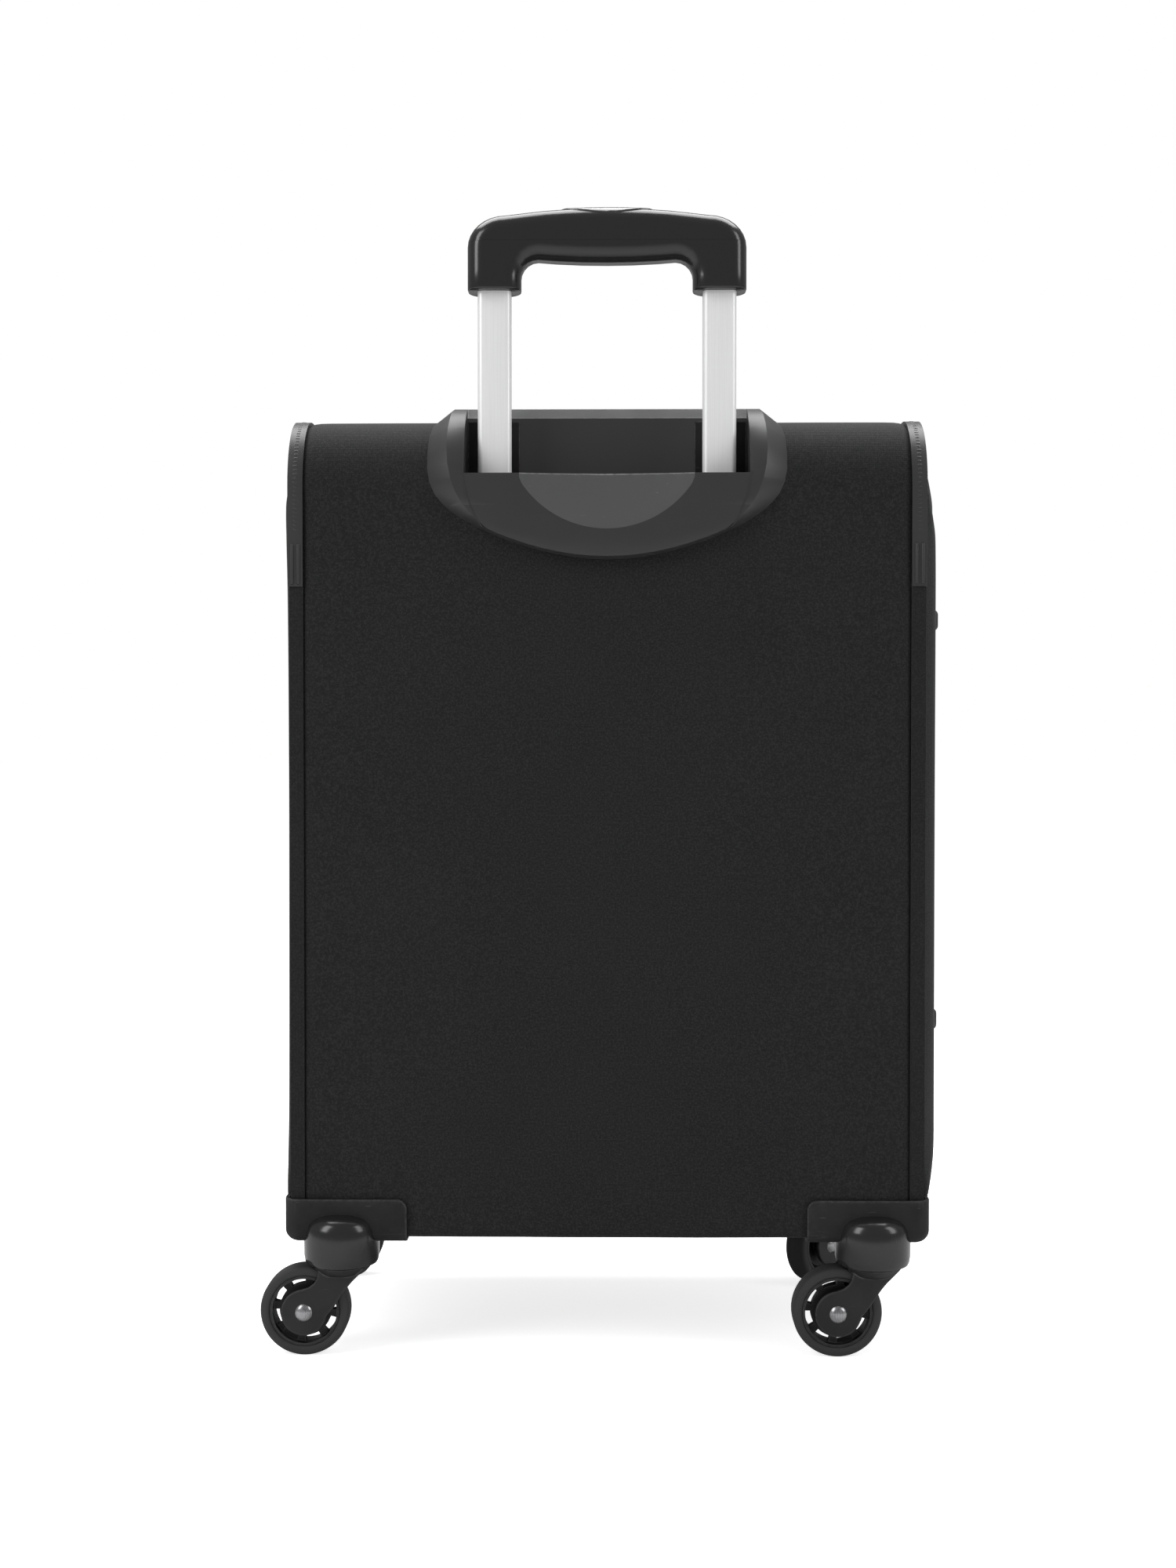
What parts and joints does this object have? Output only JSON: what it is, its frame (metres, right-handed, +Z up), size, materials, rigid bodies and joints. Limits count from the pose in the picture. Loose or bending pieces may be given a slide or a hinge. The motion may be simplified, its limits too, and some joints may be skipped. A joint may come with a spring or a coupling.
{
  "type": "softside upright suitcase",
  "caption": "Black softside cabin suitcase on swivel casters, with a telescoping trolley handle, a zipped lid and carry handles.",
  "frame": {"origin": "on the floor, under the middle of the case's box", "axes": "+Z up, -Y towards the trolley handle's side (the back), +Y towards the zipped lid (the front), +X towards the side carry handle"},
  "size_m": [0.4065, 0.238, 0.6705],
  "materials": {
    "shell_fabric": "matte",
    "lining_fabric": "matte",
    "webbing": "matte",
    "zip_tape": "matte",
    "board_plastic": "matte",
    "steel": "satin",
    "satin_plastic": "satin",
    "gloss_plastic": "gloss",
    "tube_aluminium": "satin",
    "tyre_rubber": "matte",
    "slider_metal": "satin"
  },
  "bodies": {
    "case": {"wrap_panel": "shell_fabric", "side_panel_left": "shell_fabric", "side_panel_right": "shell_fabric", "edge_piping": "shell_fabric", "piping_guards": "satin_plastic", "back_board": "board_plastic", "opening_wire_frame": "steel", "lining": "lining_fabric", "pack_straps": "webbing", "zip_tape_case": "zip_tape", "trolley_bezel": "satin_plastic", "outer_tubes": "tube_aluminium", "trolley_base": "satin_plastic", "bottom_skids": "satin_plastic", "corner_guard_rear_left": "satin_plastic", "corner_guard_rear_right": "satin_plastic", "corner_guard_front_left": "satin_plastic", "corner_guard_front_right": "satin_plastic", "caster_cups": "gloss_plastic", "guard_screws": "steel", "handle_anchors": "satin_plastic"},
    "lid": {"lid_shell": "shell_fabric", "lid_piping": "shell_fabric", "zip_tape_lid": "zip_tape", "front_pocket": "shell_fabric", "pocket_zip_tape": "zip_tape"},
    "main_slider_upper": {"main_slider_upper": "slider_metal"},
    "main_puller_upper": {"main_puller_upper": "slider_metal"},
    "main_slider_lower": {"main_slider_lower": "slider_metal"},
    "main_puller_lower": {"main_puller_lower": "slider_metal"},
    "pocket_slider": {"pocket_slider": "slider_metal"},
    "pocket_puller": {"pocket_puller": "slider_metal"},
    "top_handle": {"top_carry_handle": "webbing"},
    "side_handle": {"side_carry_handle": "webbing"},
    "middle_stage": {"middle_tubes": "tube_aluminium", "stage_collars": "satin_plastic"},
    "inner_stage": {"inner_tubes": "tube_aluminium", "inner_plugs": "satin_plastic", "grip_upper_shell": "gloss_plastic", "grip_lower_shell": "gloss_plastic", "button_spring": "steel"},
    "push_button": {"push_button": "gloss_plastic"},
    "push_rods": {"push_rods": "board_plastic"},
    "lock_pins": {"lock_pins": "steel"},
    "swivel_rear_left": {"fork_rear_left": "satin_plastic", "axle_rear_left": "steel"},
    "wheel_rear_left": {"hub_rear_left": "satin_plastic", "tyre_rear_left": "tyre_rubber"},
    "swivel_rear_right": {"fork_rear_right": "satin_plastic", "axle_rear_right": "steel"},
    "wheel_rear_right": {"hub_rear_right": "satin_plastic", "tyre_rear_right": "tyre_rubber"},
    "swivel_front_left": {"fork_front_left": "satin_plastic", "axle_front_left": "steel"},
    "wheel_front_left": {"hub_front_left": "satin_plastic", "tyre_front_left": "tyre_rubber"},
    "swivel_front_right": {"fork_front_right": "satin_plastic", "axle_front_right": "steel"},
    "wheel_front_right": {"hub_front_right": "satin_plastic", "tyre_front_right": "tyre_rubber"}
  },
  "joints": [
    {"name": "lid_hinge", "type": "hinge", "parent": "case", "child": "lid", "pos_m": [-0.176, 0.097, 0.3], "axis": [0, 0, 1], "range_deg": [0, 175]},
    {"name": "main_slider_upper_slide", "type": "slide", "parent": "lid", "child": "main_slider_upper", "axis": [0, 0, 1], "range_m": [0, 0.13]},
    {"name": "main_slider_lower_slide", "type": "slide", "parent": "lid", "child": "main_slider_lower", "axis": [0, 0, -1], "range_m": [0, 0.13]},
    {"name": "main_puller_upper_swing", "type": "hinge", "parent": "main_slider_upper", "child": "main_puller_upper", "pos_m": [0.162, 0.0995, 0.332], "axis": [1, 0, 0], "range_deg": [0, 165]},
    {"name": "main_puller_lower_swing", "type": "hinge", "parent": "main_slider_lower", "child": "main_puller_lower", "pos_m": [0.162, 0.0995, 0.292], "axis": [1, 0, 0], "range_deg": [0, 165]},
    {"name": "pocket_slider_slide", "type": "slide", "parent": "lid", "child": "pocket_slider", "axis": [-1, 0, 0], "range_m": [0, 0.21]},
    {"name": "pocket_puller_swing", "type": "hinge", "parent": "pocket_slider", "child": "pocket_puller", "pos_m": [0.106, 0.1165, 0.405], "axis": [0, 0, -1], "range_deg": [0, 165]},
    {"name": "top_handle_lift", "type": "slide", "parent": "case", "child": "top_handle", "axis": [0, 0, 1], "range_m": [0, 0.008]},
    {"name": "side_handle_lift", "type": "slide", "parent": "case", "child": "side_handle", "axis": [1, 0, 0], "range_m": [0, 0.0045]},
    {"name": "middle_stage_slide", "type": "slide", "parent": "case", "child": "middle_stage", "axis": [0, 0, 1], "range_m": [0, 0.24]},
    {"name": "inner_stage_slide", "type": "slide", "parent": "middle_stage", "child": "inner_stage", "axis": [0, 0, 1], "range_m": [-0.116, 0.122]},
    {"name": "button_press", "type": "slide", "parent": "inner_stage", "child": "push_button", "axis": [0, 0, -1], "range_m": [0, 0.003], "stiffness_N_per_m": 800, "springref_m": -0.002},
    {"name": "push_rods_slide", "type": "slide", "parent": "inner_stage", "child": "push_rods", "axis": [0, 0, -1], "range_m": [0, 0.003], "deforming": ["button_spring"]},
    {"name": "lock_pins_slide", "type": "slide", "parent": "inner_stage", "child": "lock_pins", "axis": [0, -1, 0], "range_m": [0, 0.0015]},
    {"name": "swivel_rear_left_turn", "type": "hinge", "parent": "case", "child": "swivel_rear_left", "pos_m": [-0.155, -0.097, 0.06], "axis": [0, 0, 1], "continuous": true},
    {"name": "wheel_rear_left_spin", "type": "hinge", "parent": "swivel_rear_left", "child": "wheel_rear_left", "pos_m": [-0.176, -0.097, 0.026], "axis": [0, 1, 0], "continuous": true},
    {"name": "swivel_rear_right_turn", "type": "hinge", "parent": "case", "child": "swivel_rear_right", "pos_m": [0.155, -0.097, 0.06], "axis": [0, 0, 1], "continuous": true},
    {"name": "wheel_rear_right_spin", "type": "hinge", "parent": "swivel_rear_right", "child": "wheel_rear_right", "pos_m": [0.134, -0.097, 0.026], "axis": [0, 1, 0], "continuous": true},
    {"name": "swivel_front_left_turn", "type": "hinge", "parent": "case", "child": "swivel_front_left", "pos_m": [-0.155, 0.075, 0.06], "axis": [0, 0, 1], "continuous": true},
    {"name": "wheel_front_left_spin", "type": "hinge", "parent": "swivel_front_left", "child": "wheel_front_left", "pos_m": [-0.176, 0.075, 0.026], "axis": [0, 1, 0], "continuous": true},
    {"name": "swivel_front_right_turn", "type": "hinge", "parent": "case", "child": "swivel_front_right", "pos_m": [0.155, 0.075, 0.06], "axis": [0, 0, 1], "continuous": true},
    {"name": "wheel_front_right_spin", "type": "hinge", "parent": "swivel_front_right", "child": "wheel_front_right", "pos_m": [0.14015, 0.06015, 0.026], "axis": [-0.7071, 0.7071, 0], "continuous": true}
  ],
  "couplings": [
    {"joint": "push_rods_slide", "follows": "button_press", "ratio": 1},
    {"joint": "lock_pins_slide", "follows": "button_press", "ratio": 0.5}
  ]
}
